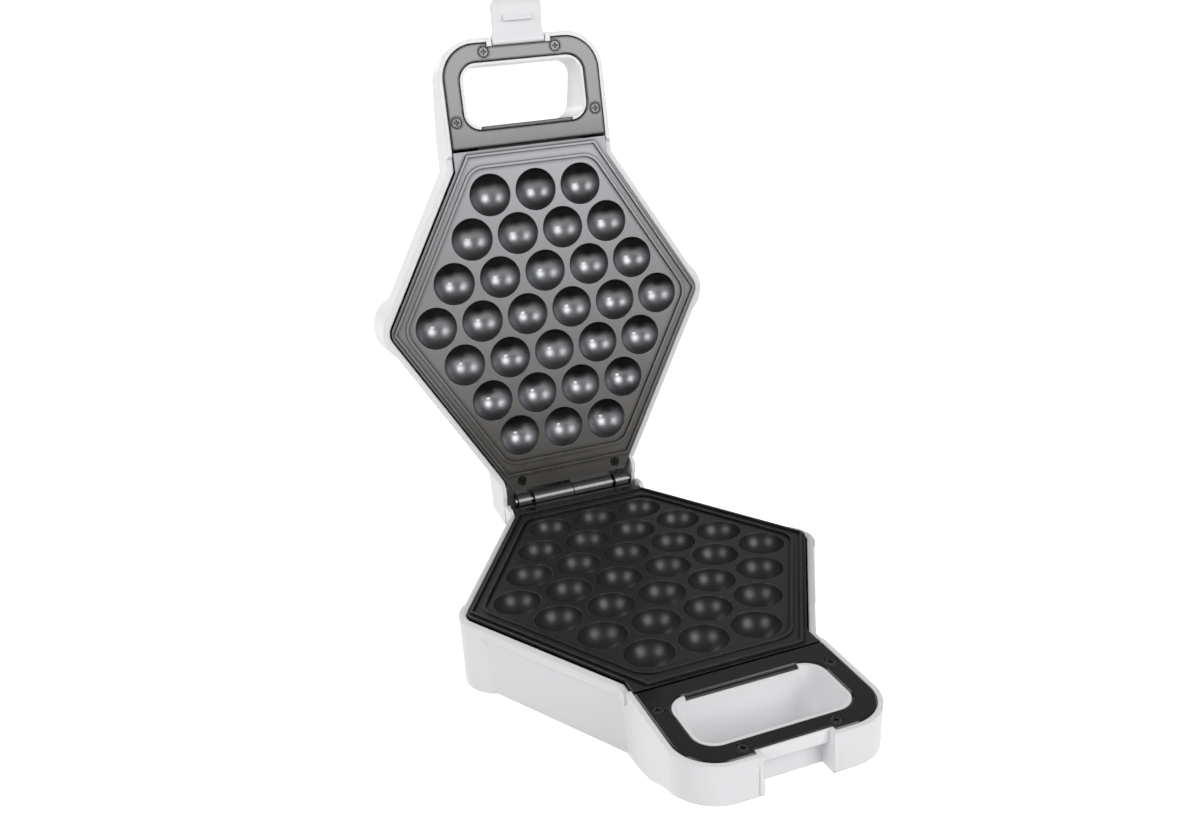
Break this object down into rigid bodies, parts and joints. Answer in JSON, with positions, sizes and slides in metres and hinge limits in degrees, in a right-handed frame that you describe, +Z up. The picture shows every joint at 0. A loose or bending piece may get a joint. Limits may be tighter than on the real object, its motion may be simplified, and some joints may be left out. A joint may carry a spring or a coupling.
{
  "type": "bubble waffle maker",
  "caption": "Bubble waffle maker standing open: two hinged white housings with finger handles, cast plates of round dishes in a hexagon, and a tab latch.",
  "frame": {"origin": "centre of the open appliance's overall box, on the surface that its feet stand on", "axes": "+Z up, -Y towards the base's handle, +X to the right as seen from the handle"},
  "size_m": [0.2162, 0.363, 0.3634],
  "materials": {
    "white_plastic": "satin white",
    "black_trim": "high gloss",
    "black_screws": "black oxide",
    "coated_plate": "dark non-stick coating",
    "foot_rubber": "matt",
    "gland_rubber": "matt",
    "inner_plastic": "natural moulding",
    "lead_sleeve": "braided sleeve",
    "heater_steel": "heat tinted",
    "bright_steel": "plain",
    "pan_aluminium": "mill finish",
    "fuse_sleeve": "woven sleeve",
    "red_lens": "clear tint",
    "green_lens": "clear tint",
    "lamp_glass": "clear",
    "hinge_steel": "plain"
  },
  "bodies": {
    "base": {"base_housing": "white_plastic", "base_handle_trim": "black_trim", "base_trim_screws": "black_screws", "lower_plate": "coated_plate", "lower_plate_screws": "black_screws", "rubber_feet": "foot_rubber", "cord_gland": "gland_rubber", "lower_terminal_block": "inner_plastic", "lower_leads": "lead_sleeve", "lower_heater": "heater_steel", "lower_heater_straps": "bright_steel", "lower_strap_screws": "bright_steel", "lower_reflector": "pan_aluminium", "lower_thermostat": "bright_steel", "lower_thermal_fuse": "fuse_sleeve", "hinge_pin": "hinge_steel", "hinge_clip": "hinge_steel"},
    "lid": {"lid_housing": "white_plastic", "lid_handle_trim": "black_trim", "lid_trim_screws": "black_screws", "upper_plate": "coated_plate", "upper_plate_screws": "black_screws", "power_lens": "red_lens", "ready_lens": "green_lens", "power_lamp": "lamp_glass", "ready_lamp": "lamp_glass", "lamp_holder": "inner_plastic", "upper_terminal_block": "inner_plastic", "upper_leads": "lead_sleeve", "upper_heater": "heater_steel", "upper_heater_straps": "bright_steel", "upper_strap_screws": "bright_steel", "upper_reflector": "pan_aluminium", "upper_thermostat": "bright_steel", "upper_thermal_fuse": "fuse_sleeve", "latch_pin": "hinge_steel"},
    "latch": {"latch": "white_plastic"}
  },
  "joints": [
    {"name": "lid_hinge", "type": "hinge", "parent": "base", "child": "lid", "pos_m": [0, 0.11258, 0.04485], "axis": [1, 0, 0], "range_deg": [0, 97]},
    {"name": "latch_pivot", "type": "hinge", "parent": "lid", "child": "latch", "pos_m": [0, 0.1513, 0.33358], "axis": [1, 0, 0], "range_deg": [-15, 80]}
  ]
}
